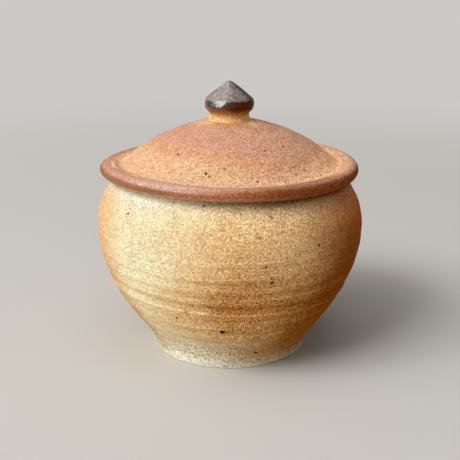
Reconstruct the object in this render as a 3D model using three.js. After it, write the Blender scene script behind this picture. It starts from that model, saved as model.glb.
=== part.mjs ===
// A wheel-thrown stoneware salt jar: a round-bellied pot, a domed lid that drops
// a locating ring into the mouth, and a pointed knob luted onto the crown of the lid.
// Millimetres, +Z up. The origin is the centre of the foot, on the table.

import * as THREE from "three";

// Jar
const bellyDiameter = 110;
const bellyHeight = 53; // the widest ring, above the table
const jarHeight = 74.7; // table to the top of the mouth rim
const mouthDiameter = 87; // clear opening inside the rim
const wallThickness = 5;
const baseDiameter = 65;
const floorThickness = 7; // table to the floor inside
const floorFlatDiameter = 28; // flat middle of the floor inside
const footEdge = 1; // bevel where the foot meets the table
const footRingWidth = 7; // flat ring that the jar stands on
const footRecess = 1.5; // hollow turned out of the underside
const footRise = 6.5; // how long the wall stays upright above the foot
const lowerFullness = 26.5; // reach of the belly's curve downwards
const shoulderFullness = 9.4; // reach of the belly's curve upwards
const shoulderLean = 28; // degrees the wall leans in below the rim
const shoulderReach = 7; // reach of the leaning stretch below the rim
const rimRound = 2.4; // height of the rounded mouth rim

// Lid
const lidDiameter = 105.4;
const lidSeatGap = 0.3; // between the mouth rim and the lid that rests on it
const lipThickness = 3.65; // seat up to the flat beside the dome
const lipCrest = 0.25; // the rolled edge stands this much above the flat
const lipDrop = 0.4; // and hangs this much below the seat
const lipEdgeHeight = 1; // seat up to the widest ring of the lip
const lipUnderRound = 1.6; // depth of the rounding below that ring
const lipRoll = 3.9; // depth of the broader rounding above it
const domeDiameter = 87; // where the dome meets the flat lip
const domeRise = 16.9; // top of the lip to the crown
const domeSpringing = 43; // degrees of the dome's slope at the lip
const domeReach = 14; // reach of that slope
const domeFillet = 2; // hollow curve between the dome and the lip
const crownDiameter = 17; // flat pad under the knob
const crownSlope = 13; // degrees of the dome's slope at the crown
const crownReach = 13; // reach of that slope
const crownThickness = 5.5;
const ringClearance = 0.9; // locating ring to mouth, on the radius
const ringWall = 3.4;
const ringDepth = 6; // locating ring below the seat
const ringTaper = 0.4; // the ring narrows by this much towards its lower edge
const ringRound = 1.4; // height of the rounded lower edge of the ring
const hollowShoulder = 2.2; // seat up to where the hollow of the dome starts

// Knob
const slipJoint = 0.3; // layer of slip between the crown and the knob
const knobHeight = 15.25;
const knobDiameter = 19.4;
const knobNeckDiameter = 15.4;
const knobFootFlare = 0.6; // the neck spreads by this much where it meets the crown
const knobNeckHeight = 2.4;
const knobShoulderHeight = 6.3; // widest ring, above the knob's seat
const knobShoulderRound = 1.6; // rounding below and above the widest ring
const knobUndercutRound = 0.9; // how far the lower rounding reaches down the undercut
const knobConeRound = 1.2; // how far the upper rounding reaches up the cone
const knobConeTop = 13.8; // where the cone gives way to the rounded tip
const knobTipDiameter = 4; // across the cone there

// Facets
const turnSteps = 56; // round the jar and the lid
const knobTurnSteps = 40;
const curveSteps = 10; // along one long curve of a profile
const shoulderSteps = 7; // along the shoulder below the rim
const roundSteps = 3; // along one small rounding, for each quarter turn

const bellyRadius = bellyDiameter / 2;
const mouthRadius = mouthDiameter / 2;
const mouthOuterRadius = mouthRadius + wallThickness;
const baseRadius = baseDiameter / 2;
const rimStart = jarHeight - rimRound;

const lidRadius = lidDiameter / 2;
const seatHeight = jarHeight + lidSeatGap;
const lipTop = seatHeight + lipThickness;
const domeRadius = domeDiameter / 2;
const crownRadius = crownDiameter / 2;
const crownHeight = lipTop + domeRise;
const ringOuterRadius = mouthRadius - ringClearance;
const ringInnerRadius = ringOuterRadius - ringWall;

const knobRadius = knobDiameter / 2;
const knobNeckRadius = knobNeckDiameter / 2;

const rad = THREE.MathUtils.degToRad;
const at = (r, z) => new THREE.Vector2(r, z);

// A point that lies a reach away from another, along a slope in degrees.
function along(point, slope, reach) {
  return at(point.x + reach * Math.cos(rad(slope)), point.y + reach * Math.sin(rad(slope)));
}

// The point that lies a reach away from one point, towards another.
function towards(from, to, reach) {
  return from.clone().lerp(to, reach / from.distanceTo(to));
}

// Samples of a cubic curve that leaves p0 towards p1 and reaches p3 from p2, without p0.
function curve(p0, p1, p2, p3, steps = curveSteps) {
  return new THREE.CubicBezierCurve(p0, p1, p2, p3).getPoints(steps).slice(1);
}

// Samples of a rounded corner between two points, with the sharp corner given, without its start.
function corner(start, sharp, end) {
  return new THREE.QuadraticBezierCurve(start, sharp, end).getPoints(roundSteps).slice(1);
}

// Samples of an arc of an ellipse, from one angle to another in degrees, both ends included.
function ellipseArc(centre, radiusR, radiusZ, from, to) {
  const arc = new THREE.EllipseCurve(
    centre.x, centre.y, radiusR, radiusZ, rad(from), rad(to), to < from);
  return arc.getPoints(roundSteps * Math.abs(to - from) / 90);
}

// A solid turned round the Z axis from a profile of (radius, height) points.
function turned(profile, steps) {
  return new THREE.LatheGeometry(profile, steps).rotateX(Math.PI / 2);
}

// The jar's outside, from the table up to the rim.
function jarOutside() {
  const foot = at(baseRadius, footEdge);
  const belly = at(bellyRadius, bellyHeight);
  const rim = at(mouthOuterRadius, rimStart);
  return [
    at(baseRadius - footEdge, 0),
    foot,
    ...curve(
      foot,
      at(baseRadius, footEdge + footRise),
      at(bellyRadius, bellyHeight - lowerFullness),
      belly,
    ),
    ...curve(
      belly,
      at(bellyRadius, bellyHeight + shoulderFullness),
      along(rim, shoulderLean - 90, shoulderReach),
      rim,
      shoulderSteps,
    ),
  ];
}

// The jar's inside, from the rim down to the flat of the floor.
function jarInside() {
  const rim = at(mouthRadius, rimStart);
  const belly = at(bellyRadius - wallThickness, bellyHeight);
  const floor = at(floorFlatDiameter / 2, floorThickness);
  return [
    ...curve(
      rim,
      along(rim, shoulderLean - 90, shoulderReach),
      at(belly.x, bellyHeight + shoulderFullness),
      belly,
      shoulderSteps,
    ),
    ...curve(
      belly,
      at(belly.x, bellyHeight - lowerFullness),
      at(baseRadius, floorThickness),
      floor,
    ),
  ];
}

function jarProfile() {
  const ringInside = baseRadius - footEdge - footRingWidth;
  const rimCentre = at((mouthRadius + mouthOuterRadius) / 2, rimStart);
  const rim = ellipseArc(rimCentre, wallThickness / 2, rimRound, 0, 180);
  return [
    at(0, footRecess),
    at(ringInside - footRecess, footRecess),
    at(ringInside, 0),
    ...jarOutside(),
    ...rim.slice(1),
    ...jarInside(),
    at(0, floorThickness),
  ];
}

// The hollow of the lid, from the middle of the crown out and down the locating ring to the seat.
function lidUnderside() {
  const crown = at(crownRadius, crownHeight - crownThickness);
  const springing = at(ringInnerRadius, seatHeight + hollowShoulder);
  const ringEnd = seatHeight - ringDepth + ringRound;
  const ringCentre = at((ringInnerRadius + ringOuterRadius - ringTaper) / 2, ringEnd);
  const ringHalf = (ringWall - ringTaper) / 2;
  return [
    at(0, crown.y),
    crown,
    ...curve(
      crown,
      along(crown, -crownSlope, crownReach),
      along(springing, 180 - domeSpringing, domeReach),
      springing,
    ),
    ...ellipseArc(ringCentre, ringHalf, ringRound, 180, 360),
    at(ringOuterRadius, seatHeight),
  ];
}

// The rolled edge of the lip, from the seat out round the widest ring to the crest.
function lidLip() {
  const edgeHeight = seatHeight + lipEdgeHeight;
  const underCentre = at(lidRadius - lipUnderRound, edgeHeight);
  const rollCentre = at(lidRadius - lipRoll, edgeHeight);
  const rollRise = lipTop + lipCrest - edgeHeight;
  return [
    at(mouthOuterRadius, seatHeight),
    ...ellipseArc(underCentre, lipUnderRound, lipEdgeHeight + lipDrop, -90, 0),
    ...ellipseArc(rollCentre, lipRoll, rollRise, 0, 90).slice(1),
  ];
}

// The top of the lid, from the flat of the lip in over the dome to the middle of the crown.
function lidTop() {
  const dome = at(domeRadius, lipTop);
  const lipSide = at(domeRadius + domeFillet, lipTop);
  const domeSide = along(dome, 180 - domeSpringing, domeFillet);
  const crown = at(crownRadius, crownHeight);
  return [
    lipSide,
    ...corner(lipSide, dome, domeSide),
    ...curve(
      domeSide,
      along(dome, 180 - domeSpringing, domeReach),
      along(crown, -crownSlope, crownReach),
      crown,
    ),
    at(0, crownHeight),
  ];
}

function lidProfile() {
  return [...lidUnderside(), ...lidLip(), ...lidTop()];
}

// Heights here are above the knob's own seat.
function knobProfile() {
  const neck = at(knobNeckRadius, knobNeckHeight);
  const widest = at(knobRadius, knobShoulderHeight);
  const below = at(knobRadius, knobShoulderHeight - knobShoulderRound);
  const above = at(knobRadius, knobShoulderHeight + knobShoulderRound);
  const tip = at(knobTipDiameter / 2, knobConeTop);
  const undercutEnd = towards(below, neck, knobUndercutRound);
  const coneStart = towards(above, tip, knobConeRound);
  return [
    at(0, 0),
    at(knobNeckRadius + knobFootFlare, 0),
    ...corner(at(knobNeckRadius + knobFootFlare, 0), at(knobNeckRadius, knobNeckHeight / 3), neck),
    undercutEnd,
    ...corner(undercutEnd, below, widest),
    ...corner(widest, above, coneStart),
    tip,
    ...corner(tip, at(knobTipDiameter / 4, knobHeight), at(0, knobHeight)),
  ];
}

const jarClay = new THREE.MeshStandardMaterial({ color: "#c49a63", roughness: 0.8, metalness: 0 });
const lidClay = new THREE.MeshStandardMaterial({ color: "#b87a4f", roughness: 0.75, metalness: 0 });
const knobGlaze = new THREE.MeshStandardMaterial({ color: "#3a241c", roughness: 0.25, metalness: 0 });

function piece(name, geometry, material) {
  const mesh = new THREE.Mesh(geometry, material);
  mesh.name = name;
  return mesh;
}

const saltJar = new THREE.Group();

saltJar.add(piece("jar_body", turned(jarProfile(), turnSteps), jarClay));

const lidAssembly = new THREE.Group();
lidAssembly.add(piece("lid", turned(lidProfile(), turnSteps), lidClay));
const knob = piece("lid_knob", turned(knobProfile(), knobTurnSteps), knobGlaze);
knob.position.z = crownHeight + slipJoint;
lidAssembly.add(knob);
saltJar.add(lidAssembly);

export default saltJar;
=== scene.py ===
"""A wood-fired stoneware salt jar: a thrown pot, a domed lid and a glazed knob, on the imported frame."""

import math

import bpy
import numpy as np
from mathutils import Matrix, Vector


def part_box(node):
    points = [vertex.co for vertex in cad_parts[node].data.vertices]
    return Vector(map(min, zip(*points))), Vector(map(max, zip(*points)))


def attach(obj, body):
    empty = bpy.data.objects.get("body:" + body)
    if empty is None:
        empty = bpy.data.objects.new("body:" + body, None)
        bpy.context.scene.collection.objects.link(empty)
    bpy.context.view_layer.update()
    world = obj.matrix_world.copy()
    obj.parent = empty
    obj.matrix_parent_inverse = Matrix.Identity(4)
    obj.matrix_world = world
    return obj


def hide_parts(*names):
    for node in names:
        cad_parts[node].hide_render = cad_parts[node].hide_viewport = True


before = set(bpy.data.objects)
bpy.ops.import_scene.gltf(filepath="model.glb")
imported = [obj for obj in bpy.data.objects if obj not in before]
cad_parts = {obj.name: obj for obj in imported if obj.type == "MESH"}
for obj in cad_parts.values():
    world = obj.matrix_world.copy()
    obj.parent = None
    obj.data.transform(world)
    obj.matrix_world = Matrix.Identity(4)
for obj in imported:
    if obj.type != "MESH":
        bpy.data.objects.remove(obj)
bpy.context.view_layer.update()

MM = 0.001
TURN = 2 * math.pi
RADIUS, HEIGHT = 0, 1  # columns of a profile
HIDDEN = "hidden_share"  # the vertex attribute that is 1 where the closed jar covers the surface up

# Sizes that the frame gives, in millimetres
jar_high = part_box("jar_body")[1] / MM
lid_low, lid_high = [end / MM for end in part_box("lid")]
knob_low, knob_high = [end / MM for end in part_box("lid_knob")]
BELLY_RADIUS, JAR_HEIGHT = jar_high.x, jar_high.z
LID_RADIUS, RING_END, CROWN_HEIGHT = lid_high.x, lid_low.z, lid_high.z
KNOB_RADIUS, KNOB_SEAT, KNOB_TOP = knob_high.x, knob_low.z, knob_high.z

# Pot, in millimetres
BELLY_HEIGHT = 53  # the widest ring, above the table
MOUTH_RADIUS = 43.5
WALL = 5
BASE_RADIUS = 32.5
FLOOR_HEIGHT = 7  # table to the floor inside
FLOOR_FLAT_RADIUS = 14
FOOT_EDGE = 0.6  # rounding where the foot meets the table
FOOT_RING_INSIDE = 24.9  # radius of the recess under the foot
FOOT_RECESS = 1.5
FOOT_RISE = 6.5  # how long the wall stays upright above the foot
LOWER_FULLNESS = 26.5  # reach of the belly's curve downwards
SHOULDER_FULLNESS = 9.4  # and upwards
SHOULDER_LEAN = 28  # degrees the wall leans in below the rim
SHOULDER_REACH = 7
RIM_ROUND = 2.4  # height of the rounded rim

# Lid, in millimetres
SEAT_GAP = 0.3  # between the rim and the lid that rests on it
LIP_THICKNESS = 3.65  # seat up to the flat beside the dome
LIP_CREST = 0.25  # the rolled edge stands this much above the flat
LIP_DROP = 0.4  # and hangs this much below the seat
LIP_EDGE_HEIGHT = 1.5  # seat up to the widest ring of the lip
LIP_UNDER_ROUND = 1.6  # depth of the rounding below that ring
LIP_ROLL = 3.1  # and of the one above it
DOME_RADIUS = 43.5
DOME_SPRINGING = 43  # degrees of the dome's slope at the lip
DOME_REACH = 14
DOME_FILLET = 2.4
CROWN_RADIUS = 8.5
CROWN_SLOPE = 13  # degrees of the dome's slope at the crown
CROWN_REACH = 13
CROWN_THICKNESS = 5.5
RING_CLEARANCE = 0.9  # locating ring to mouth, on the radius
RING_WALL = 3.4
RING_TAPER = 0.4
RING_ROUND = 1.4
HOLLOW_SHOULDER = 2.2  # seat up to where the hollow of the dome starts
SEAT_HEIGHT = JAR_HEIGHT + SEAT_GAP
LIP_TOP = SEAT_HEIGHT + LIP_THICKNESS
RING_OUTER = MOUTH_RADIUS - RING_CLEARANCE
RING_INNER = RING_OUTER - RING_WALL

# Knob, in millimetres; heights are above its seat
KNOB_NECK_RADIUS = 7.85
KNOB_NECK_HEIGHT = 2.4
KNOB_FOOT_FLARE = 0.9
KNOB_FLARE_HEIGHT = 0.6
KNOB_SINK = 0.5  # how far the foot reaches below its seat, so that the slip joint shows no gap
KNOB_SHOULDER = 6.3
KNOB_SHOULDER_ROUND = 1.6
KNOB_UNDERCUT_SHARE = 0.5  # of the undercut that stays straight
KNOB_CONE_SHARE = 0.12  # of the cone that the shoulder's rounding takes up
KNOB_CONE_TOP = 13.7
KNOB_TIP_RADIUS = 2.4
KNOB_TIP_FULLNESS = 0.96  # reach of the rounded tip's curve
KNOB_FLATS_START = 4  # the height from which the fingers' flats are full

# Marks of throwing, turning and firing, in millimetres; rings have a depth and a pitch
RIM_WARP = 0.55  # height of the saddle that the mouth and the lid share
FINE_RINGS = (0.035, 2.6)
BROAD_RINGS = (0.07, 8.3)
INSIDE_RINGS = (0.4, 8.5)
UNDERSIDE_RINGS = (0.12, 3.4)
UNDERSIDE_RINGS_END = 21  # the radius that they reach
UNDERSIDE_RINGS_FADE = 4
LID_FINE_RINGS = (0.03, 2.9)
LID_BROAD_RINGS = (0.06, 9.5)
HOLLOW_RINGS = (0.22, 7.5)
LEDGE_HEIGHT = 31.1
LEDGE_TILT = 2.0  # it sinks by this much towards the right
LEDGE_RIDGE = (0.2, -0.6, 0.6)  # relief, place above the ledge and width
LEDGE_GROOVE = (-0.3, 2.0, 1.5)
SCORE_HEIGHTS = (22, 27.6, 39.7, 44.4, 50.6)
SCORE_DEPTH = 0.1
SCORE_WIDTH = 0.5
WAIST_HEIGHT = 8.5
WAIST_REACH = 10
WAIST_DEPTH = 0.62
WAIST_LEAN = 0.22  # it is this much deeper on the left, and shallower on the right
DOME_GROOVE = (-0.22, DOME_RADIUS + 1.3, 1.1)  # relief, radius and width
GLAZE_LINE = 3.9  # height of the glaze's lower edge on the knob
GLAZE_THICKNESS = 0.14
GLAZE_EDGE = 0.2  # softness of its lower edge
GLAZE_ROLL = 0.12  # how much thicker it is there
GLAZE_ROLL_WIDTH = 0.5
GLAZE_RUN = (0.95, 5.5, 1.45)  # relief, height and width of its thick run
GLAZE_RUN_FACE = math.radians(-32)
GLAZE_RUN_SPREAD = 0.2

# Mesh density
POT_TURN_STEPS = 240
KNOB_TURN_STEPS = 120
OUTSIDE_STEP = 0.7
INSIDE_STEP = 1.2
SMALL_STEP = 0.35

# Camera
CAMERA_PLACE = (0.0002, -0.3335, 0.15155)  # metres
CAMERA_PITCH = 17.18  # degrees that it looks down
FOCAL_PIXELS = 825
FRAME_PIXELS = 460
SENSOR_MM = 36


def point(r, z):
    return np.array([r, z], float)


def along(start, slope, reach):
    """The point that lies a reach away from another, along a slope in degrees."""
    turn = math.radians(slope)
    return start + reach * point(math.cos(turn), math.sin(turn))


def curve(p0, p1, p2, p3, samples=160):
    """Samples of a cubic curve that leaves p0 towards p1 and reaches p3 from p2."""
    t = np.linspace(0, 1, samples)[:, None]
    return (1 - t) ** 3 * p0 + 3 * (1 - t) ** 2 * t * p1 + 3 * (1 - t) * t**2 * p2 + t**3 * p3


def corner(start, sharp, end, samples=12):
    """Samples of a corner rounded from start to end."""
    t = np.linspace(0, 1, samples)[:, None]
    return (1 - t) ** 2 * start + 2 * (1 - t) * t * sharp + t**2 * end


def ellipse_arc(centre, radius_r, radius_z, first, last, samples=40):
    """Samples of an arc of an ellipse between two angles in degrees."""
    turn = np.radians(np.linspace(first, last, samples))
    return centre + np.stack([radius_r * np.cos(turn), radius_z * np.sin(turn)], 1)


def even(points, step):
    """The same line in even steps."""
    points = np.asarray(points, float)
    length = np.concatenate([[0], np.cumsum(np.linalg.norm(np.diff(points, axis=0), axis=1))])
    places = np.linspace(0, length[-1], max(2, round(length[-1] / step) + 1))
    return np.stack([np.interp(places, length, points[:, k]) for k in (RADIUS, HEIGHT)], 1)


def joined(stretches):
    """One profile from named stretches that follow on, and each stretch's place in it."""
    rows, spans, count = [], {}, 0
    for name, points in stretches.items():
        if rows and np.linalg.norm(rows[-1][-1] - points[0]) < 1e-6:
            points = points[1:]
        rows.append(points)
        spans[name] = slice(count, count + len(points))
        count += len(points)
    return np.vstack(rows), spans


def fade(count, rows=6):
    """Weights that rise from 0 and fall back to 0 within some rows of the two ends of a stretch."""
    place = np.arange(count)
    return np.clip(np.minimum(place, count - 1 - place) / rows, 0, 1)[:, None]


def bell(value, centre, width):
    return np.exp(-(((value - centre) / width) ** 2))


def spiral(value, angle, depth, pitch, start=0):
    """Rings that climb by one pitch in each turn."""
    return depth * np.cos(TURN * value / pitch + angle + start)


def waves(angle, *terms):
    """Unevenness round the axis; each term is an amount, a count of waves and where they start."""
    return sum(amount * np.sin(count * angle + start) for amount, count, start in terms)


def turn_angles(steps):
    return np.arange(steps) / steps * TURN


def carved(profile, spans, angle, marks):
    """The relief of a profile. Each mark names a stretch, the column it follows and its function."""
    relief = np.zeros((len(profile), len(angle)))
    for name, column, mark in marks:
        stretch = profile[spans[name]]
        relief[spans[name]] = fade(len(stretch)) * mark(stretch[:, [column]], angle)
    return relief


def turned(profile, relief, angle):
    """The grid of points of a profile turned round Z, moved out by relief along the profile's normal.
    Angle 0 faces the viewer, and the angle grows towards +X."""
    run = np.gradient(profile, axis=0)
    run /= np.maximum(np.linalg.norm(run, axis=1, keepdims=True), 1e-9)
    radius = profile[:, :1] + run[:, 1:] * relief
    height = profile[:, 1:] - run[:, :1] * relief
    return np.stack([radius * np.sin(angle), -radius * np.cos(angle), height], 2)


def fired_warp(grid, share):
    """The saddle that the kiln gave the mouth and the lid; share is how much of it each point takes."""
    x, y = grid[..., 0], grid[..., 1]
    grid[..., 2] += RIM_WARP * share * 2 * x * y / LID_RADIUS**2
    return grid


def piece(name, grid, hidden):
    """A closed, smooth mesh from a grid of rings in millimetres whose first and last rings lie on the axis.
    Hidden is 1 on the rings that the closed jar covers up, and is kept as an attribute for the material."""
    rings = grid[1:-1]
    count, steps = rings.shape[:2]
    first, last = count * steps, count * steps + 1
    points = np.vstack([rings.reshape(-1, 3), grid[0].mean(0), grid[-1].mean(0)]) * MM
    starts = [i * steps for i in range(count)]
    faces = []
    for j in range(steps):
        k = (j + 1) % steps
        faces.append((first, k, j))
        faces += [(a + j, a + k, b + k, b + j) for a, b in zip(starts, starts[1:])]
        faces.append((starts[-1] + j, starts[-1] + k, last))
    mesh = bpy.data.meshes.new(name)
    mesh.from_pydata(points.tolist(), [], faces)
    mesh.polygons.foreach_set("use_smooth", [True] * len(mesh.polygons))
    shares = np.concatenate([np.repeat(hidden[1:-1], steps), [hidden[0], hidden[-1]]])
    mesh.attributes.new(HIDDEN, "FLOAT", "POINT").data.foreach_set("value", shares)
    obj = bpy.data.objects.new(name, mesh)
    bpy.context.scene.collection.objects.link(obj)
    return obj


# Pot

def pot_profile():
    foot = point(BASE_RADIUS, FOOT_EDGE)
    belly = point(BELLY_RADIUS, BELLY_HEIGHT)
    rim_start = JAR_HEIGHT - RIM_ROUND
    rim_out = point(MOUTH_RADIUS + WALL, rim_start)
    rim_in = point(MOUTH_RADIUS, rim_start)
    inner_belly = point(BELLY_RADIUS - WALL, BELLY_HEIGHT)
    floor = point(FLOOR_FLAT_RADIUS, FLOOR_HEIGHT)
    underside = [
        point(0, FOOT_RECESS),
        point(FOOT_RING_INSIDE - FOOT_RECESS, FOOT_RECESS),
        point(FOOT_RING_INSIDE, 0),
        point(BASE_RADIUS - FOOT_EDGE, 0),
    ]
    outside = np.vstack([
        curve(
            foot,
            point(BASE_RADIUS, FOOT_EDGE + FOOT_RISE),
            point(BELLY_RADIUS, BELLY_HEIGHT - LOWER_FULLNESS),
            belly,
        ),
        curve(
            belly,
            point(BELLY_RADIUS, BELLY_HEIGHT + SHOULDER_FULLNESS),
            along(rim_out, SHOULDER_LEAN - 90, SHOULDER_REACH),
            rim_out,
        ),
    ])
    inside = np.vstack([
        curve(
            rim_in,
            along(rim_in, SHOULDER_LEAN - 90, SHOULDER_REACH),
            point(inner_belly[RADIUS], BELLY_HEIGHT + SHOULDER_FULLNESS),
            inner_belly,
        ),
        curve(
            inner_belly,
            point(inner_belly[RADIUS], BELLY_HEIGHT - LOWER_FULLNESS),
            point(BASE_RADIUS, FLOOR_HEIGHT),
            floor,
        ),
    ])
    return joined({
        "underside": even(underside, INSIDE_STEP),
        "foot": even(corner(underside[-1], point(BASE_RADIUS, 0), foot), SMALL_STEP),
        "outside": even(outside, OUTSIDE_STEP),
        "rim": even(ellipse_arc((rim_out + rim_in) / 2, WALL / 2, RIM_ROUND, 0, 180), OUTSIDE_STEP),
        "inside": even(inside, INSIDE_STEP),
        "floor": even([floor, point(0, FLOOR_HEIGHT)], INSIDE_STEP),
    })


def outside_relief(height, angle):
    """Throwing rings, a turned ledge low on the belly, scores, a waist above the foot, and unevenness."""
    swell = 0.6 + 0.4 * np.sin(height / 7 + 1)  # the fine rings come and go on the way up
    fine = spiral(height, angle, *FINE_RINGS) * swell
    broad = spiral(height, angle, *BROAD_RINGS, start=1.1)
    ledge_height = LEDGE_HEIGHT - LEDGE_TILT * np.sin(angle)
    ledge = sum(
        relief * bell(height, ledge_height + above, width)
        for relief, above, width in (LEDGE_RIDGE, LEDGE_GROOVE)
    )
    scores = sum(-SCORE_DEPTH * bell(height, z, SCORE_WIDTH) for z in SCORE_HEIGHTS)
    lumps = waves(angle, (0.2, 2, 0.4), (0.09, 3, height / 14))
    dents = waves(angle, (0.06 * np.sin(height / 11), 5, 2 - height / 9))
    waist = -(WAIST_DEPTH - WAIST_LEAN * np.sin(angle)) * bell(height, WAIST_HEIGHT, WAIST_REACH)
    return fine + broad + ledge + scores + lumps + dents + waist


def underside_relief(radius, angle):
    """Turning marks in the recess, inside the ring that the pot stands on."""
    share = np.clip((UNDERSIDE_RINGS_END - radius) / UNDERSIDE_RINGS_FADE, 0, 1)
    return spiral(radius, angle, *UNDERSIDE_RINGS) * share


def inside_relief(height, angle):
    """The spiral that the fingers left in the wall."""
    return spiral(height, angle, *INSIDE_RINGS)


def make_pot():
    profile, spans = pot_profile()
    angle = turn_angles(POT_TURN_STEPS)
    relief = carved(profile, spans, angle, (
        ("outside", HEIGHT, outside_relief),
        ("inside", HEIGHT, inside_relief),
        ("underside", RADIUS, underside_relief),
    ))
    hidden = np.zeros(len(profile))
    hidden[spans["underside"]] = profile[spans["underside"], RADIUS] < FOOT_RING_INSIDE
    hidden[spans["rim"]] = np.linspace(0, 1, len(profile[spans["rim"]]))
    hidden[spans["inside"]] = hidden[spans["floor"]] = 1
    grid = turned(profile, relief, angle)
    share = np.clip((grid[..., 2] - BELLY_HEIGHT) / (JAR_HEIGHT - BELLY_HEIGHT), 0, 1) ** 2
    return piece("jar_pot", fired_warp(grid, share), hidden)


# Lid

def lid_profile():
    crown_in = point(CROWN_RADIUS, CROWN_HEIGHT - CROWN_THICKNESS)
    springing = point(RING_INNER, SEAT_HEIGHT + HOLLOW_SHOULDER)
    ring_centre = point((RING_INNER + RING_OUTER - RING_TAPER) / 2, RING_END + RING_ROUND)
    ring_half = (RING_WALL - RING_TAPER) / 2
    ring_edge = ellipse_arc(ring_centre, ring_half, RING_ROUND, 180, 360)
    edge_height = SEAT_HEIGHT + LIP_EDGE_HEIGHT
    under_centre = point(LID_RADIUS - LIP_UNDER_ROUND, edge_height)
    roll_centre = point(LID_RADIUS - LIP_ROLL, edge_height)
    lip_edge = np.vstack([
        ellipse_arc(under_centre, LIP_UNDER_ROUND, LIP_EDGE_HEIGHT + LIP_DROP, -90, 0),
        ellipse_arc(roll_centre, LIP_ROLL, LIP_TOP + LIP_CREST - edge_height, 0, 90)[1:],
    ])
    dome = point(DOME_RADIUS, LIP_TOP)
    dome_side = along(dome, 180 - DOME_SPRINGING, DOME_FILLET)
    lip_side = point(DOME_RADIUS + DOME_FILLET, LIP_TOP)
    crown = point(CROWN_RADIUS, CROWN_HEIGHT)
    hollow = np.vstack([
        [point(0, crown_in[HEIGHT])],
        curve(
            crown_in,
            along(crown_in, -CROWN_SLOPE, CROWN_REACH),
            along(springing, 180 - DOME_SPRINGING, DOME_REACH),
            springing,
        ),
    ])
    ring = np.vstack([[springing], ring_edge, [point(RING_OUTER, SEAT_HEIGHT)]])
    top = np.vstack([
        [lip_edge[-1]],
        corner(lip_side, dome, dome_side),
        curve(
            dome_side,
            along(dome, 180 - DOME_SPRINGING, DOME_REACH),
            along(crown, -CROWN_SLOPE, CROWN_REACH),
            crown,
        ),
    ])
    return joined({
        "hollow": even(hollow, INSIDE_STEP),
        "ring": even(ring, SMALL_STEP),
        "seat": even([ring[-1], point(MOUTH_RADIUS + WALL, SEAT_HEIGHT), lip_edge[0]], OUTSIDE_STEP),
        "lip": even(lip_edge, SMALL_STEP),
        "top": even(top, OUTSIDE_STEP),
        "crown": even([crown, point(0, CROWN_HEIGHT)], OUTSIDE_STEP),
    })


def lid_top_relief(radius, angle):
    """Faint turning rings, a shallow groove at the foot of the dome and slow unevenness."""
    fine = spiral(radius, angle, *LID_FINE_RINGS)
    broad = spiral(radius, angle, *LID_BROAD_RINGS, start=0.7)
    depth, groove_radius, width = DOME_GROOVE
    groove = depth * bell(radius, groove_radius, width)
    lumps = waves(angle, (0.08, 3, radius / 12 + 1), (0.05, 5, -radius / 8))
    return fine + broad + groove + lumps


def lid_hollow_relief(radius, angle):
    return spiral(radius, angle, *HOLLOW_RINGS)


def lip_relief(_, angle):
    return waves(angle, (0.1, 4, 1), (0.1, 7, 0))


def make_lid():
    profile, spans = lid_profile()
    angle = turn_angles(POT_TURN_STEPS)
    relief = carved(profile, spans, angle, (
        ("top", RADIUS, lid_top_relief),
        ("hollow", RADIUS, lid_hollow_relief),
        ("lip", RADIUS, lip_relief),
    ))
    hidden = np.zeros(len(profile))
    hidden[spans["hollow"]] = hidden[spans["ring"]] = hidden[spans["seat"]] = 1
    return piece("jar_lid", fired_warp(turned(profile, relief, angle), 1), hidden)


# Knob

def knob_profile():
    neck = point(KNOB_NECK_RADIUS, KNOB_NECK_HEIGHT)
    widest = point(KNOB_RADIUS, KNOB_SHOULDER)
    below = point(KNOB_RADIUS, KNOB_SHOULDER - KNOB_SHOULDER_ROUND)
    above = point(KNOB_RADIUS, KNOB_SHOULDER + KNOB_SHOULDER_ROUND)
    tip = point(KNOB_TIP_RADIUS, KNOB_CONE_TOP)
    undercut_end = neck + KNOB_UNDERCUT_SHARE * (below - neck)
    cone_start = above + KNOB_CONE_SHARE * (tip - above)
    apex = point(0, KNOB_TOP - KNOB_SEAT)
    flare = point(KNOB_NECK_RADIUS + KNOB_FOOT_FLARE, -KNOB_SINK)
    rows = np.vstack([
        [point(0, -KNOB_SINK)],
        corner(flare, point(KNOB_NECK_RADIUS, KNOB_FLARE_HEIGHT), neck),
        corner(undercut_end, below, widest),
        corner(widest, above, cone_start),
        corner(tip, point(KNOB_TIP_FULLNESS, apex[HEIGHT]), apex),
    ])
    return even(rows, SMALL_STEP) + point(0, KNOB_SEAT)


def knob_relief(height, angle):
    """The glaze's rolled edge over the undercut, a thick run of it, and flats that the fingers left."""
    above_seat = height - KNOB_SEAT
    line = GLAZE_LINE + waves(angle, (0.3, 3, 0.5), (0.15, 7, 0))
    covered = 1 / (1 + np.exp(-(above_seat - line) / GLAZE_EDGE))
    roll = bell(above_seat, line + GLAZE_ROLL_WIDTH, GLAZE_ROLL_WIDTH)
    glaze = GLAZE_THICKNESS * covered + GLAZE_ROLL * roll
    depth, run_height, width = GLAZE_RUN
    run = depth * bell(above_seat, run_height, width)
    run = run * np.exp((np.cos(angle - GLAZE_RUN_FACE) - 1) / GLAZE_RUN_SPREAD)
    flats = waves(angle, (0.12, 2, -TURN / 4), (0.07, 5, above_seat))
    return glaze + run + flats * np.clip(above_seat / KNOB_FLATS_START, 0, 1)


def make_knob():
    profile = knob_profile()
    angle = turn_angles(KNOB_TURN_STEPS)
    relief = fade(len(profile), rows=10) * knob_relief(profile[:, [HEIGHT]], angle)
    return piece("jar_knob", turned(profile, relief, angle), np.zeros(len(profile)))


# Materials

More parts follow.
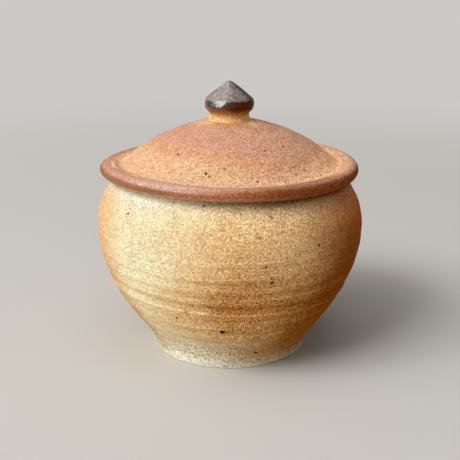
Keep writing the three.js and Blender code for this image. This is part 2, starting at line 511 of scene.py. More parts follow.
GRAIN_CONTRAST = 0.88  # between one grain and another
GRAIN_DOME = (-0.35, 0.24)  # slope and start of the brightness from a grain's middle outwards
SMALLEST_SPECK = 0.3  # as a share of the largest
SPECK_EDGE = (1.1, 0.6)  # shares of its radius between which a speck sets in
SPOT_EDGE = (1.15, 0.75)  # the same for a placed spot
SPOT_DRIFT = (1.1, 0.9)  # and how its outline wanders


class Shader:
    """Adds and links the nodes of one material; the functions below call it s. Places are in millimetres,
    in the object's own frame. A share is a number from 0 to 1, and a face is a direction round the axis,
    in degrees from the viewer's side."""

    def __init__(self, name):
        self.material = bpy.data.materials.new(name)
        self.material.use_nodes = True
        self.tree = self.material.node_tree
        self.tree.nodes.clear()
        self.surface = self.add("BsdfPrincipled")
        self.output = self.add("OutputMaterial", {"Surface": self.surface.outputs["BSDF"]})
        coordinates = self.add("TexCoord")
        self.place = self.vector("MULTIPLY", coordinates.outputs["Object"], (1 / MM, 1 / MM, 1 / MM))
        self.x, self.y, self.height = self.add("SeparateXYZ", {0: self.place}).outputs
        square = self.plus(self.math("POWER", self.x, 2), self.math("POWER", self.y, 2))
        self.radius = self.math("SQRT", square)
        self.angle = self.math("DEGREES", self.math("ARCTAN2", self.x, self.times(self.y, -1)))
        self.hidden = self.add("Attribute", attribute_name=HIDDEN).outputs["Fac"]

    def put(self, socket, value):
        if isinstance(value, bpy.types.NodeSocket):
            self.tree.links.new(value, socket)
        else:
            socket.default_value = value

    def add(self, kind, inputs=None, **settings):
        """A new node with its settings, and with its inputs, by name or number, set or linked."""
        node = self.tree.nodes.new("ShaderNode" + kind)
        for name, value in settings.items():
            setattr(node, name, value)
        for key, value in (inputs or {}).items():
            self.put(node.inputs[key], value)
        return node

    def math(self, operation, *values):
        return self.add("Math", dict(enumerate(values)), operation=operation).outputs[0]

    def plus(self, first, second):
        return self.math("ADD", first, second)

    def minus(self, first, second):
        return self.math("SUBTRACT", first, second)

    def times(self, first, *others):
        for other in others:
            first = self.math("MULTIPLY", first, other)
        return first

    def either(self, first, *others):
        """The largest of some shares."""
        for other in others:
            first = self.math("MAXIMUM", first, other)
        return first

    def inverse(self, share):
        return self.minus(1.0, share)

    def line(self, value, slope, start):
        """A straight line: start, plus slope times the value."""
        return self.math("MULTIPLY_ADD", value, slope, start)

    def vector(self, operation, *values):
        node = self.add("VectorMath", dict(enumerate(values)), operation=operation)
        return node.outputs["Value" if operation == "LENGTH" else "Vector"]

    def combine(self, *values):
        return self.add("CombineXYZ", dict(enumerate(values))).outputs[0]

    def smooth(self, value, low, high):
        """0 at low, 1 at high, with a soft step between; low may be the larger."""
        node = self.add("MapRange", {
            "Value": value,
            "From Min": min(low, high),
            "From Max": max(low, high),
            "To Min": 0 if low < high else 1,
            "To Max": 1 if low < high else 0,
        }, interpolation_type="SMOOTHSTEP")
        return node.outputs["Result"]

    def band(self, value, centre, half_width):
        """1 at the centre of a band, falling softly to 0 at its two edges."""
        return self.smooth(self.math("ABSOLUTE", self.minus(value, centre)), half_width, 0)

    def plateau(self, value, start, full, fading, end):
        """0 up to the start, 1 from full to fading, and 0 again from the end on."""
        return self.times(self.smooth(value, start, full), self.smooth(value, end, fading))

    def turn_from(self, face, angle):
        """Degrees round the axis from a face, from -180 to 180."""
        return self.math("WRAP", self.minus(angle, face), 180, -180)

    def from_face(self, face, angle):
        """Degrees round the axis from a face, counted the same both ways."""
        return self.math("ABSOLUTE", self.turn_from(face, angle))

    def noise(self, size, detail=2, roughness=0.5, stretch=None):
        """Noise from 0 to 1 with lumps of about size millimetres, drawn out along axes of small stretch."""
        place = self.place if stretch is None else self.vector("MULTIPLY", self.place, stretch)
        node = self.add("TexNoise", {
            "Vector": place,
            "Scale": 1 / size,
            "Detail": detail,
            "Roughness": roughness,
        })
        return node.outputs["Fac"]

    def wander(self, value, *drifts):
        """A value moved by noise, so that a border on it wanders. A drift is an amount and a size."""
        for amount, size in drifts:
            value = self.plus(value, self.line(self.noise(size), amount, -amount / 2))
        return value

    def mix(self, share, first, second, blend="MIX"):
        node = self.add("Mix", {"Factor": share}, data_type="RGBA", blend_type=blend)
        for socket, colour in ((node.inputs[6], first), (node.inputs[7], second)):
            self.put(socket, colour if isinstance(colour, bpy.types.NodeSocket) else (*colour, 1))
        return node.outputs[2]

    def ramp(self, value, low, high, stops):
        """Colours along a value that runs from low to high; each stop is a value and its colour."""
        node = self.add("ValToRGB", {"Fac": self.line(value, 1 / (high - low), -low / (high - low))})
        places = [(stop - low) / (high - low) for stop, _ in stops]
        elements = node.color_ramp.elements
        elements[0].position, elements[-1].position = places[0], places[-1]
        for place in places[1:-1]:
            elements.new(place)
        for element, (_, colour) in zip(elements, stops):
            element.color = (*colour, 1)
        return node.outputs["Color"]

    def cells(self, spacing):
        """Cells spacing millimetres apart: the distance from a cell's middle, and two random shares."""
        node = self.add("TexVoronoi", {"Vector": self.place, "Scale": 1 / spacing})
        split = self.add("SeparateColor", {0: node.outputs["Color"]})
        return node.outputs["Distance"], split.outputs[0], split.outputs[1]

    def grains(self, spacing):
        """Close-packed domed grains of differing brightness, from 0 in the gaps up to 1."""
        distance, brightness, _ = self.cells(spacing)
        return self.plus(self.times(brightness, GRAIN_CONTRAST), self.line(distance, *GRAIN_DOME))

    def specks(self, spacing, largest, share):
        """Small round specks over the surface: 1 on a speck. Share is how many cells hold one."""
        distance, chance, size = self.cells(spacing)
        chosen = self.math("LESS_THAN", chance, share)
        largest = largest / spacing
        reach = self.line(size, (1 - SMALLEST_SPECK) * largest, SMALLEST_SPECK * largest)
        return self.times(chosen, self.smooth(self.math("DIVIDE", distance, reach), *SPECK_EDGE))

    def spots(self, flat_place, spots):
        """Placed spots, each a centre, a width and a height on a flat layout of the surface: 1 on a spot."""
        nearest = None
        for across, up, width, height in spots:
            away = self.vector("SUBTRACT", flat_place, (across, up, 0))
            away = self.vector("MULTIPLY", away, (2 / width, 2 / height, 0))
            away = self.vector("LENGTH", away)
            nearest = away if nearest is None else self.math("MINIMUM", nearest, away)
        return self.smooth(self.wander(nearest, SPOT_DRIFT), *SPOT_EDGE)

    def grained(self, colour, grain, strength, shares):
        """A colour broken up into grains and gaps."""
        return self.mix(strength, colour, self.ramp(grain, 0, 1, shares), "MULTIPLY")

    def bump(self, height, depth):
        """Relief of a depth in millimetres from a height of 0 to 1."""
        return self.add("Bump", {"Distance": depth * MM, "Height": height}).outputs["Normal"]

    def coat(self, weight, roughness):
        self.put(self.surface.inputs["Coat Weight"], weight)
        self.put(self.surface.inputs["Coat Roughness"], roughness)

    def finish(self, colour, roughness, normal, specular):
        self.put(self.surface.inputs["Base Color"], colour)
        self.put(self.surface.inputs["Roughness"], roughness)
        self.put(self.surface.inputs["Normal"], normal)
        self.put(self.surface.inputs["Specular IOR Level"], specular)
        return self.material


# Colours of the fired pot, each by its height in millimetres
ASH = (
    (3, (0.70, 0.69, 0.56)),
    (10, (0.69, 0.61, 0.45)),
    (20, (0.73, 0.615, 0.40)),
    (32, (0.78, 0.665, 0.412)),
    (45, (0.77, 0.705, 0.475)),
    (60, (0.695, 0.59, 0.37)),
    (69, (0.665, 0.60, 0.41)),
    (73.5, (0.74, 0.73, 0.60)),
)
BARE = (
    (3, (0.62, 0.57, 0.45)),
    (10, (0.51, 0.39, 0.215)),
    (16, (0.55, 0.35, 0.153)),
    (24, (0.53, 0.29, 0.102)),
    (33, (0.50, 0.227, 0.064)),
    (42, (0.54, 0.277, 0.098)),
    (50, (0.65, 0.367, 0.147)),
    (60, (0.70, 0.432, 0.19)),
    (66, (0.77, 0.51, 0.25)),
    (72, (0.80, 0.61, 0.335)),
)
SCORCH = (
    (3, (0.55, 0.40, 0.22)),
    (7, (0.36, 0.185, 0.055)),
    (14, (0.27, 0.088, 0.007)),
    (24, (0.235, 0.07, 0.004)),
    (40, (0.225, 0.064, 0.005)),
    (55, (0.27, 0.075, 0.012)),
    (61, (0.37, 0.115, 0.028)),
    (66, (0.48, 0.17, 0.06)),
    (72, (0.45, 0.20, 0.088)),
)
COLOURS_TOP = 75  # the height at which those colours end
FLUSH = (0.78, 0.465, 0.18)
PEACH = (0.69, 0.425, 0.22)
KHAKI = (0.67, 0.46, 0.24)
# painted shade low on the pot's left
PAINTED_SHADE_TAN = (0.50, 0.32, 0.155)
FOOT_PALE = (0.75, 0.72, 0.62)
BUFF = (0.60, 0.42, 0.24)
IRON = (0.03, 0.018, 0.014)
RUST = (0.12, 0.05, 0.027)
SOOT = (0.20, 0.155, 0.085)
PIT = (0.11, 0.055, 0.03)

# Shades and lifts that multiply the colour under them; the rings are partly painted shade, the ridges
# painted highlight and the lid's lip shadow is painted
POT_DULL = (0.78, 0.7, 0.6)
RING_SHADE = (0.66, 0.52, 0.36)
RIDGE_PAINTED_HIGHLIGHT = (1.5, 1.8, 2.4)
PAINTED_LIP_SHADOWS = (  # painted shadow of the lid's lip: heights and degrees from the flame between which the shoulder darkens, and its shade there
    (71.3, 72.9, 46, 74, (0.47, 0.51, 0.57)),
    (72.5, 73.4, 60, 82, (0.58, 0.50, 0.43)),
    (70.1, 72.4, 75, 100, (0.35, 0.30, 0.18)),
)

# Grains from the gaps between them up to the brightest, as shares of the colour under them
BARE_GRAIN = (
    (0.0, (0.34, 0.13, 0.01)),
    (0.45, (1.01, 0.97, 0.83)),
    (0.85, (1.45, 1.76, 2.30)),
    (1.0, (1.85, 2.60, 4.00)),
)
ASH_GRAIN = (
    (0.0, (0.40, 0.28, 0.13)),
    (0.45, (1.02, 1.01, 0.98)),
    (0.85, (1.38, 1.50, 1.63)),
    (1.0, (1.62, 1.85, 2.12)),
)
LID_GRAIN = (
    (0.0, (0.64, 0.49, 0.34)),
    (0.45, (1.02, 1.01, 0.98)),
    (0.85, (1.30, 1.44, 1.58)),
    (1.0, (1.56, 1.88, 2.20)),
)
GRAIN_SPACING = 0.42
LINING_GRAIN = 0.35  # how plainly the grain shows inside the pot and under the lid
PIT_DEPTH = 0.5  # of pits and spots, as a share of the grain's depth
CLAY_ROUGHNESS = 0.8

# Faces, in degrees
ASH_FACE = -35  # the side of the pot that the ash settled on
FLAME_FACE = -75  # the side that the flame came from

# Specks all over: their spacing, the radius of the largest and the share of places that hold one
POT_PITS = ((1.3, 0.32, 0.55), (2.3, 0.46, 0.6), (4.7, 0.65, 0.6))
SHOULDER_SOOT = (1.0, 0.34, 0.6)
LID_PEPPER = ((1.3, 0.32, 0.55), (2.6, 0.45, 0.6))
GUTTER_PEPPER = (2.0, 0.62, 0.5)

# Placed marks
POT_SPOT_RADIUS = 50  # of the cylinder that the pot's spots are laid out on
POT_SPOTS = (  # angle in degrees, height, width and height of the spot
    (-3.2, 21.8, 2.7, 1.9),
    (16.8, 7.8, 2.4, 1.1),
    (132, 40, 2.1, 1.6),
    (171, 61, 1.5, 1.1),
    (-118, 28, 1.8, 1.3),
)
POT_RUST = (  # smaller and browner ones
    (37.0, 56.2, 1.3, 1.2),
    (22.1, 35.6, 1.4, 0.9),
    (16.6, 44.3, 1.9, 1.2),
    (-10.9, 72.2, 0.9, 0.8),
    (14.0, 51.0, 0.9, 0.9),
    (4.6, 34.1, 1.9, 0.8),
    (-24.6, 26.9, 1.3, 0.9),
    (-46.9, 65.9, 0.9, 0.9),
    (-150, 52, 1.1, 1.4),
    (104, 47, 1.2, 1.0),
)
POT_RINGS = (  # height of a dark ring in front, its tilt, its half width and how dark it is; partly painted shade in the turning grooves
    (33.8, 2.0, 1.7, 0.9),
    (32.1, 2.0, 1.0, 0.4),
    (27.6, 0.3, 1.1, 0.55),
    (39.7, 0.2, 1.1, 0.5),
    (44.5, 0.7, 1.1, 0.5),
    (50.7, 0.3, 0.8, 0.4),
    (22.0, 0.2, 0.9, 0.4),
    (20.3, -0.1, 0.6, 0.3),
    (16.4, 0.1, 0.6, 0.3),
    (11.0, 0.1, 0.9, 0.5),
    (5.2, 0.0, 0.8, 0.45),
)
POT_RIDGE_HIGHLIGHTS = (  # height of a pale ridge in front, its tilt, its half width and how pale it is; a painted highlight along the turning ridge
    (30.4, 2.0, 0.9, 0.8),
    (37.1, 0.0, 0.8, 0.5),
    (46.3, 0.1, 0.5, 0.35),
    (42.0, 0.2, 0.5, 0.3),
    (52.7, 0.8, 0.6, 0.3),
    (23.8, 0.0, 0.6, 0.35),
    (18.9, 0.0, 0.7, 0.3),
    (14.4, 0.6, 0.6, 0.35),
)
STREAK_STRETCH = (0.05, 0.05, 1)  # draws noise out round the pot
LID_SPOTS = (  # across and along from the axis, width and length of the spot
    (-8.6, -38.9, 1.2, 1.2),
    (-19.5, -26.9, 0.9, 1.2),
    (13.4, -26.6, 0.7, 1.0),
    (20.6, -20.6, 1.0, 1.2),
    (10.3, -41.1, 1.0, 0.9),
    (24.9, -37.3, 0.8, 0.9),
    (36.3, -7.6, 0.8, 0.9),
    (-22, 24, 1.3, 1.2),
    (17, 33, 1.6, 1.3),
)


def pot_colour(s):
    """The colours that flame and ash left: ash on one side, bare clay beside it, scorched clay at the back.
    Also how bare of ash the clay is. Turns are degrees past the middle of the ash, rises millimetres."""
    turn = s.wander(s.turn_from(ASH_FACE, s.angle), (15, 26), (9, 8))
    rise = s.wander(s.height, (5, 20), (2.5, 6))
    ash_colour, bare_colour, scorch_colour = [
        s.ramp(rise, 0, COLOURS_TOP, stops) for stops in (ASH, BARE, SCORCH)
    ]
    scorch_edge = s.math("MINIMUM", s.line(rise, 0.54, 48), 75)
    far_side = s.smooth(turn, -75, -130)
    scorched = s.either(s.smooth(s.minus(turn, scorch_edge), -20, 20), far_side)
    colour = s.mix(scorched, bare_colour, scorch_colour)

    low_part, belly_part = s.smooth(rise, 30, 0), s.band(rise, 49, 15)
    ash_edge = s.plus(s.line(low_part, 12, 16), s.times(belly_part, 7))
    past_ash = s.minus(turn, ash_edge)
    ash = s.times(s.smooth(past_ash, 19, -19), s.inverse(far_side))
    colour = s.mix(ash, colour, ash_colour)

    flush = s.times(s.band(past_ash, 0, 22), s.plateau(rise, 12, 24, 48, 60), 0.4)
    colour = s.mix(flush, colour, FLUSH)
    left_edge = s.times(s.smooth(turn, -10, -34), s.plateau(rise, 8, 20, 64, 76))
    colour = s.mix(left_edge, colour, PEACH)
    # painted shade low on the left
    low_left_shade = s.times(s.smooth(turn, -6, -26), s.smooth(rise, 36, 22), 0.6)
    colour = s.mix(low_left_shade, colour, PAINTED_SHADE_TAN)
    right_front = s.times(s.band(turn, 58, 18), s.band(rise, 52, 14), 0.45)
    colour = s.mix(right_front, colour, KHAKI)
    colour = s.mix(far_side, colour, scorch_colour)
    bare = s.times(s.inverse(ash), s.smooth(rise, 8, 20))
    return colour, bare


def ringed(s, colour, bare):
    """Darker rings and paler ridges along the turning marks, partly painted shade in the grooves and painted
    highlight on the ridges, plainest where the clay is bare of ash.
    """
    rightwards = s.math("DIVIDE", s.x, s.radius)
    level = s.wander(s.height, (0.7, 14))

    def with_rings(mask, rings):
        for height, tilt, half_width, strength in rings:
            tilted = s.plus(level, s.times(rightwards, tilt))
            mask = s.either(mask, s.times(s.band(tilted, height, half_width), strength))
        return mask

    shown = s.line(bare, 0.5, 0.48)
    patches = s.times(s.smooth(s.noise(7), 0.22, 0.5), shown)
    streak = s.noise(1.3, 2, 0.6, STREAK_STRETCH)
    below_belly = s.smooth(s.height, 56, 44)
    dark_streaks = s.times(s.smooth(streak, 0.52, 0.3), 0.5, below_belly)
    dark = s.times(with_rings(dark_streaks, POT_RINGS), shown)
    # darker streaks and rings, the rings partly painted shade
    colour = s.mix(dark, colour, RING_SHADE, "MULTIPLY")
    pale_streaks = s.times(s.smooth(streak, 0.55, 0.75), 0.35, below_belly)
    pale = s.times(with_rings(pale_streaks, POT_RIDGE_HIGHLIGHTS), patches)
    # paler streaks and ridges, the ridges a painted highlight
    return s.mix(pale, colour, RIDGE_PAINTED_HIGHLIGHT, "MULTIPLY")


def pot_grained(s, colour, grain, bare):
    """Faint grain where the ash lies, plainest just above the foot, and stronger grain on bare clay."""
    near_foot = s.line(s.smooth(s.height, 18, 9), 0.48, 0.52)
    foot_edge = s.line(s.smooth(s.height, 0, 4), 0.6, 0.4)
    colour = s.grained(colour, grain, s.times(s.inverse(bare), near_foot, foot_edge), ASH_GRAIN)
    strength = s.line(s.smooth(s.height, 60, 22), 0.42, 0.56)
    return s.grained(colour, grain, s.times(s.math("POWER", bare, 1.5), strength), BARE_GRAIN)


def shoulder_shaded(s, colour):
    """Soot specks on the shoulder under the lid, and the lid's shadow painted on it, on the side away from
    the flame.
    """
    lee = s.from_face(FLAME_FACE, s.angle)
    shoulder = s.times(s.smooth(s.height, 63, 71), s.smooth(lee, 52, 84))
    colour = s.mix(s.times(s.specks(*SHOULDER_SOOT), shoulder, 0.6), colour, SOOT)
    # painted shadow of the lid's lip on the shoulder
    for low, high, lee_start, lee_end, shade in PAINTED_LIP_SHADOWS:
        lip_shadow = s.times(s.smooth(s.height, low, high), s.smooth(lee, lee_start, lee_end))
        colour = s.mix(lip_shadow, colour, shade, "MULTIPLY")
    return colour


def pot_spotted(s, colour):
    """The placed spots, and where they are."""
    arc = POT_SPOT_RADIUS * math.radians(1)
    flat_place = s.combine(s.times(s.angle, arc), s.height, 0.0)
    shown = []
    for tint, placed in ((RUST, POT_RUST), (IRON, POT_SPOTS)):
        laid_out = [(angle * arc, *spot) for angle, *spot in placed]
        shown.append(s.times(s.spots(flat_place, laid_out), s.inverse(s.hidden)))
        colour = s.mix(shown[-1], colour, tint)
    return colour, s.either(*shown)


def lined(s, colour, mottle, grain, patches):
    """The paler clay of the sides that the closed jar hides, with patches of another colour."""
    lining = s.mix(s.smooth(mottle, 0.6, 0.3), BUFF, patches)
    return s.mix(s.hidden, colour, s.grained(lining, grain, LINING_GRAIN, ASH_GRAIN))


def clay_bump(s, grain, pits, spots, depth):
    return s.bump(s.minus(grain, s.times(s.either(pits, spots), PIT_DEPTH)), depth)


def pot_clay():
    s = Shader("stoneware_pot")
    colour, bare = pot_colour(s)
    colour = ringed(s, colour, bare)
    mottle = s.noise(5.5, 3, 0.6)
    dull = s.times(s.smooth(mottle, 0.5, 0.3), s.line(bare, 0.2, 0.35))
    colour = s.mix(dull, colour, POT_DULL, "MULTIPLY")
    foot = s.times(s.smooth(s.wander(s.height, (1.2, 5)), 3.4, 1.0), 0.6)
    colour = s.mix(foot, colour, FOOT_PALE)
    grain = s.grains(GRAIN_SPACING)
    colour = pot_grained(s, colour, grain, bare)
    pits = s.either(*[s.specks(*kind) for kind in POT_PITS])
    colour = s.mix(s.times(pits, s.line(bare, 0.25, 0.6)), colour, PIT)
    colour = shoulder_shaded(s, colour)
    colour, spots = pot_spotted(s, colour)
    colour = lined(s, colour, mottle, grain, PEACH)
    return s.finish(colour, CLAY_ROUGHNESS, clay_bump(s, grain, pits, spots, depth=0.13), specular=0.005)


# Colours of the lid
NECK_GOLD = (0.70, 0.43, 0.18)
NECK_SHADE = (0.50, 0.245, 0.115)
NECK_PALE = (0.645, 0.385, 0.215)
# painted light beside the knob's neck, where its shadow falls on the dome
NECK_PAINTED_LIGHT = (0.84, 0.50, 0.25)
ROSE = (0.54, 0.285, 0.185)
SIENNA = (0.58, 0.29, 0.16)
LID_GOLD = (0.63, 0.375, 0.22)
# peach flange on the lee side, partly the clay's colour and partly painted light
LID_PEACH = (0.80, 0.45, 0.26)
LID_DULL = (0.82, 0.72, 0.62)  # multiplies the colour under it
LIP_ROSE = (0.51, 0.257, 0.168)
LIP_SHADE = (0.36, 0.165, 0.10)
LIP_TAN = (0.64, 0.338, 0.195)
LIP_PLUM = (0.26, 0.096, 0.034)
LIP_AMBER = (0.335, 0.114, 0.043)
LIP_DARK = (0.185, 0.048, 0.011)
LIP_EDGE = (0.42, 0.20, 0.105)
# pale sheen painted on the lip's top on the lee side, a painted reflection
LIP_PAINTED_SHEEN = (0.41, 0.265, 0.21)
# painted highlight on the upper lip
LIP_PAINTED_HIGHLIGHT = (0.58, 0.38, 0.33)
# painted highlight beside the lip
LIP_HIGHLIGHT_CREAM = (0.85, 0.63, 0.46)
LIP_FACE = 78.4  # height at which the lip's face begins
LIP_LOWER_EDGE = 75.9  # and where the pale edge below it begins
POLISH_FACE = -34  # the stretch of the lip that hands have worn smooth
LIP_HIGHLIGHT_FACE = -30  # and the middle of the highlight painted on it
LIP_HIGHLIGHT_STREAKS = (  # face, reach round the axis, radius and half width of pale streaks beside the lip, painted highlights
    (-78, 13, 47.8, 1.2),
    (-98, 18, 43.0, 2.4),
)


def dome_colour(s, lee, lip_radius, scorched, far_side):
    """Tan round the knob, rose over the dome, sienna and gold towards the lip, peach on the lee side that is
    partly painted light, and painted light beside the neck where the knob's shadow falls.
    """
    reach = s.wander(s.radius, (6, 17), (3, 5))
    neck = s.mix(s.smooth(lee, 50, 15), NECK_SHADE, NECK_PALE)
    # painted light where the knob's shadow falls beside its neck
    neck = s.mix(s.smooth(lee, 105, 137), neck, NECK_PAINTED_LIGHT)
    colour = s.mix(s.smooth(reach, 11, 16), neck, ROSE)
    reach = s.minus(reach, s.times(scorched, 6))
    colour = s.mix(s.smooth(reach, 26, 32), colour, SIENNA)
    colour = s.mix(s.smooth(reach, 31, 37), colour, LID_GOLD)
    # peach on the lee side, partly painted light on the flange
    peach = s.smooth(s.plus(lip_radius, s.times(far_side, 3)), 38.5, 42)
    return s.mix(s.times(peach, s.smooth(lee, 95, 135)), colour, LID_PEACH)


def lip_coloured(s, colour, lee, lip_radius, far_side):
    """The lip's rose top, its darker face, the pale edge below, and a painted sheen, a painted highlight and
    pale painted streaks along it.
    """
    shaded = s.smooth(lee, 68, 104)
    top = s.mix(far_side, s.mix(shaded, LIP_ROSE, LIP_SHADE), LIP_TAN)
    top_start = s.plus(lip_radius, s.line(s.smooth(lee, 40, 110), 1.4, -0.7))
    top_start = s.plus(top_start, s.times(s.smooth(lee, 24, 6), 2.0))
    colour = s.mix(s.smooth(top_start, 45.7, 47.9), colour, top)
    face = s.mix(s.smooth(lee, 43, 63), LIP_PLUM, LIP_AMBER)
    face = s.mix(shaded, face, LIP_DARK)
    level = s.wander(s.height, (0.8, 5))
    outer = s.smooth(s.radius, 48.5, 49.5)
    on_face = s.times(s.smooth(level, LIP_FACE + 0.6, LIP_FACE - 0.6), outer)
    colour = s.mix(on_face, colour, face)
    edge = s.times(s.smooth(level, LIP_LOWER_EDGE + 0.5, LIP_LOWER_EDGE - 0.5), outer)
    colour = s.mix(s.times(edge, s.smooth(lee, 116, 56)), colour, LIP_EDGE)
    upper = s.times(s.smooth(level, LIP_FACE - 1.0, LIP_FACE + 0.4), outer, 0.5)
    # painted reflection on the lip's top, lee side
    colour = s.mix(s.times(upper, s.smooth(lee, 90, 120)), colour, LIP_PAINTED_SHEEN)
    # a highlight painted on the upper lip
    painted_highlight = s.smooth(s.from_face(LIP_HIGHLIGHT_FACE, s.angle), 19, 8)
    colour = s.mix(s.times(upper, painted_highlight), colour, LIP_PAINTED_HIGHLIGHT)
    # pale streaks of painted highlight beside the lip
    for highlight_face, reach_round, radius, half_width in LIP_HIGHLIGHT_STREAKS:
        streak = s.times(s.band(lip_radius, radius, half_width), s.band(s.angle, highlight_face, reach_round))
        colour = s.mix(streak, colour, LIP_HIGHLIGHT_CREAM)
    return colour


def lid_clay():
    """Lee is degrees round the axis from the side that the flame came from."""
    s = Shader("stoneware_lid")
    lee = s.from_face(FLAME_FACE, s.wander(s.angle, (18, 15)))
    lip_radius = s.wander(s.radius, (1.6, 6))
    scorched, far_side = s.smooth(lee, 50, 105), s.smooth(lee, 120, 140)
    colour = dome_colour(s, lee, lip_radius, scorched, far_side)
    colour = lip_coloured(s, colour, lee, lip_radius, far_side)
    mottle = s.noise(4.5, 3, 0.6)
    dull = s.times(s.smooth(mottle, 0.5, 0.3), 0.45)
    colour = s.mix(dull, colour, LID_DULL, "MULTIPLY")
    grain = s.grains(GRAIN_SPACING)
    strength = s.either(s.line(scorched, 0.2, 0.78), s.smooth(s.radius, 46, 50))
    colour = s.grained(colour, grain, strength, LID_GRAIN)
    pepper = s.either(*[s.specks(*kind) for kind in LID_PEPPER])
    colour = s.mix(s.times(pepper, 0.6), colour, PIT)
    gutter = s.plateau(s.radius, 32, 40, 45.5, 47.5)
    colour = s.mix(s.times(s.specks(*GUTTER_PEPPER), gutter, 0.75), colour, PIT)
    spots = s.times(s.spots(s.combine(s.x, s.y, 0.0), LID_SPOTS), s.inverse(s.hidden))
    colour = s.mix(s.times(spots, 0.85), colour, IRON)
    colour = lined(s, colour, mottle, grain, LID_GOLD)
    worn = s.smooth(s.from_face(POLISH_FACE, s.angle), 46, 24)
    s.coat(s.times(s.smooth(s.radius, 48.2, 50), worn), roughness=0.42)
    return s.finish(colour, CLAY_ROUGHNESS, clay_bump(s, grain, pepper, spots, depth=0.08), specular=0.03)


# Colours of the knob
GLAZE_DARK = (0.022, 0.009, 0.005)
GLAZE_BROWN = (0.075, 0.019, 0.003)
GLAZE_THIN = (0.20, 0.08, 0.036)
# grey of the cone, partly the glaze and partly a painted reflection of the sky
GLAZE_GREY_SHEEN = (0.315, 0.255, 0.24)
GLAZE_SLATE = (0.18, 0.145, 0.135)
GLAZE_PAINTED_SHADE = (0.78, 0.77, 0.77)  # multiplies the colour under it: painted shade on the cone's side away from the lamps
GLAZE_DUSK = (0.075, 0.042, 0.034)
GLAZE_RED = (0.22, 0.055, 0.008)
GLAZE_AMBER = (0.42, 0.16, 0.035)
NECK_AMBER = (0.58, 0.30, 0.10)
NECK_TOP = 6  # the height at which the colours of the neck end
NECK = (  # by height above the knob's seat
    (0, NECK_GOLD),
    (1.8, NECK_GOLD),
    (2.8, NECK_AMBER),
    (3.8, GLAZE_AMBER),
    (4.8, GLAZE_RED),
    (NECK_TOP, GLAZE_RED),
)
NECK_GRAIN_SPACING = 0.45
CONE_SHEEN_FACE = -12  # the middle of the grey on the cone, partly a painted reflection of the sky
GLOSS_FACE = -27  # the middle of the glossiest stretch
GLAZE_IOR = 1.7
RIPPLE_STRETCH = (0.6, 0.6, 1)


def knob_glaze():
    """Bare clay at the neck, dark glaze over the undercut, and grey on the cone that is partly the glaze and
    partly a painted reflection, with painted shade on its side away from the lamps.
    """
    s = Shader("iron_glaze")
    rise = s.minus(s.height, KNOB_SEAT)
    shaded = s.smooth(s.from_face(FLAME_FACE, s.wander(s.angle, (16, 4))), 58, 92)
    line = s.wander(s.plus(rise, s.times(shaded, 0.9)), (1.4, 3.5), (0.8, 1.2))
    clay = s.ramp(line, 0, NECK_TOP, NECK)
    clay = s.grained(clay, s.grains(NECK_GRAIN_SPACING), 0.9, LID_GRAIN)

    dark = s.mix(shaded, GLAZE_DARK, GLAZE_BROWN)
    past_gloss = s.smooth(s.from_face(GLOSS_FACE, s.angle), 28, 56)
    thin = s.times(past_gloss, s.inverse(shaded))
    dark = s.mix(thin, dark, GLAZE_THIN)
    colour = s.mix(s.smooth(line, 4.6, 5.8), clay, dark)

    cone = s.mix(s.smooth(s.noise(1.3, 3, 0.6), 0.62, 0.38), GLAZE_GREY_SHEEN, GLAZE_SLATE)
    # painted shade on the cone's side away from the lamps
    cone = s.mix(shaded, cone, GLAZE_PAINTED_SHADE, "MULTIPLY")
    # beyond the painted reflection the cone keeps its dark glaze
    past_cone_sheen = s.smooth(s.from_face(CONE_SHEEN_FACE, s.wander(s.angle, (20, 3))), 55, 80)
    cone = s.mix(past_cone_sheen, cone, GLAZE_DUSK)
    on_cone = s.smooth(s.wander(rise, (1.2, 2.0)), 7.6, 8.4)
    colour = s.mix(on_cone, colour, cone)

    glazed = s.smooth(line, 3.4, 5.2)
    s.coat(s.times(glazed, s.inverse(s.either(past_gloss, shaded))), roughness=0.2)
    s.put(s.surface.inputs["Coat IOR"], GLAZE_IOR)
    ripple = s.bump(s.noise(0.9, stretch=RIPPLE_STRETCH), depth=0.26)
    s.put(s.surface.inputs["Coat Normal"], ripple)
    roughness = s.plus(s.line(glazed, -0.48, 0.7), s.times(on_cone, 0.2))
    return s.finish(colour, roughness, ripple, specular=0.04)


def dress(obj, material, body, node):
    obj.data.materials.append(material)
    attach(obj, body)
    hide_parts(node)


# Stage; lengths are in metres
BACKDROP = (0.60, 0.585, 0.565)
FLOOR_PALE = (0.52, 0.508, 0.49)
FLOOR_BOUNCE = (0.74, 0.67, 0.57)
FLOOR_ROUGHNESS = 0.9
FLOOR_SPECULAR = 0.1
FLOOR_HALF = 8
FADE_NEAR, FADE_FAR = 0.22, 0.75  # radii between which the floor fades into the backdrop
STUDIO_FILL = (1, 0.97, 0.93)
STUDIO_FILL_STRENGTH = 0.26
LAMP_DISTANCE = 2.7
LAMPS = (  # name, azimuth and elevation in degrees, width, height, watts and colour
    ("window", -52, 44, 1.5, 1.0, 54, (0.90, 0.95, 1)),
    ("room", -60, 46, 2.8, 1.8, 34, (1, 0.875, 0.72)),
    ("ceiling", -20, 80, 2.4, 2.4, 15, (1, 1, 1)),
)


def seen_directly(tree):
    """1 for what the eye sees straight, in a reflection or through glass; 0 for light that bounces."""
    path = tree.nodes.new("ShaderNodeLightPath")
    seen = path.outputs["Is Camera Ray"]
    for kind in ("Is Glossy Ray", "Is Transmission Ray"):
        node = tree.nodes.new("ShaderNodeMath")
        node.operation = "MAXIMUM"
        tree.links.new(seen, node.inputs[0])
        tree.links.new(path.outputs[kind], node.inputs[1])
        seen = node.outputs[0]
    return seen


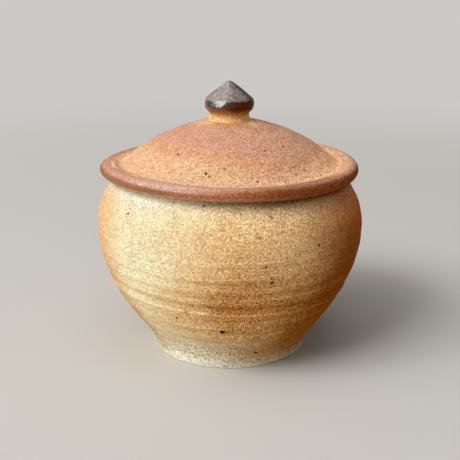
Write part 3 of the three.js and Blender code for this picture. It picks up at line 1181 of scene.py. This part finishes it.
def floor_material():
    """A pale floor that takes the jar's shadow and fades into the even backdrop further out."""
    s = Shader("pale_floor")
    seen = seen_directly(s.tree)
    s.put(s.surface.inputs["Base Color"], s.mix(seen, FLOOR_BOUNCE, FLOOR_PALE))
    s.put(s.surface.inputs["Roughness"], FLOOR_ROUGHNESS)
    s.put(s.surface.inputs["Specular IOR Level"], FLOOR_SPECULAR)
    backdrop = s.add("Emission", {"Color": (*BACKDROP, 1)})
    blend = s.add("MixShader", {
        "Fac": s.times(s.smooth(s.radius, FADE_NEAR / MM, FADE_FAR / MM), seen),
        1: s.surface.outputs["BSDF"],
        2: backdrop.outputs["Emission"],
    })
    s.put(s.output.inputs["Surface"], blend.outputs["Shader"])
    return s.material


def make_floor():
    half = FLOOR_HALF
    mesh = bpy.data.meshes.new("floor")
    corners = [(-half, -half, 0), (half, -half, 0), (half, half, 0), (-half, half, 0)]
    mesh.from_pydata(corners, [], [(0, 1, 2, 3)])
    floor = bpy.data.objects.new("floor", mesh)
    floor.data.materials.append(floor_material())
    bpy.context.scene.collection.objects.link(floor)


def make_lamp(name, azimuth, elevation, width, height, watts, colour):
    """A lamp that looks at the middle of the pot. Azimuth 0 is on the viewer's side, 90 to the right."""
    lamp = bpy.data.lights.new(name, "AREA")
    lamp.shape = "RECTANGLE"
    lamp.size, lamp.size_y = width, height
    lamp.energy = watts
    lamp.color = colour
    turn, lift = math.radians(azimuth), math.radians(elevation)
    aim = Vector((0, 0, JAR_HEIGHT * MM / 2))
    away = Vector((math.sin(turn) * math.cos(lift), -math.cos(turn) * math.cos(lift), math.sin(lift)))
    obj = bpy.data.objects.new(name, lamp)
    obj.location = aim + away * LAMP_DISTANCE
    obj.rotation_euler = (-away).to_track_quat("-Z", "Y").to_euler()
    bpy.context.scene.collection.objects.link(obj)


def make_world():
    """Soft fill from all round, with the even backdrop where it is looked at."""
    world = bpy.data.worlds.new("studio")
    world.use_nodes = True
    tree = world.node_tree
    fill = tree.nodes["Background"]
    fill.inputs["Color"].default_value = (*STUDIO_FILL, 1)
    fill.inputs["Strength"].default_value = STUDIO_FILL_STRENGTH
    backdrop = tree.nodes.new("ShaderNodeBackground")
    backdrop.inputs["Color"].default_value = (*BACKDROP, 1)
    blend = tree.nodes.new("ShaderNodeMixShader")
    tree.links.new(seen_directly(tree), blend.inputs["Fac"])
    tree.links.new(fill.outputs["Background"], blend.inputs[1])
    tree.links.new(backdrop.outputs["Background"], blend.inputs[2])
    tree.links.new(blend.outputs["Shader"], tree.nodes["World Output"].inputs["Surface"])
    bpy.context.scene.world = world


def make_camera():
    lens = bpy.data.cameras.new("camera")
    lens.sensor_width = SENSOR_MM
    lens.lens = FOCAL_PIXELS / FRAME_PIXELS * SENSOR_MM
    camera = bpy.data.objects.new("camera", lens)
    camera.location = CAMERA_PLACE
    camera.rotation_euler = (math.radians(90 - CAMERA_PITCH), 0, 0)
    bpy.context.scene.collection.objects.link(camera)
    bpy.context.scene.camera = camera


make_camera()
make_world()
for lamp in LAMPS:
    make_lamp(*lamp)
make_floor()
dress(make_pot(), pot_clay(), "jar", "jar_body")
dress(make_lid(), lid_clay(), "lid", "lid")
dress(make_knob(), knob_glaze(), "lid", "lid_knob")
bpy.context.scene.view_settings.view_transform = "Standard"
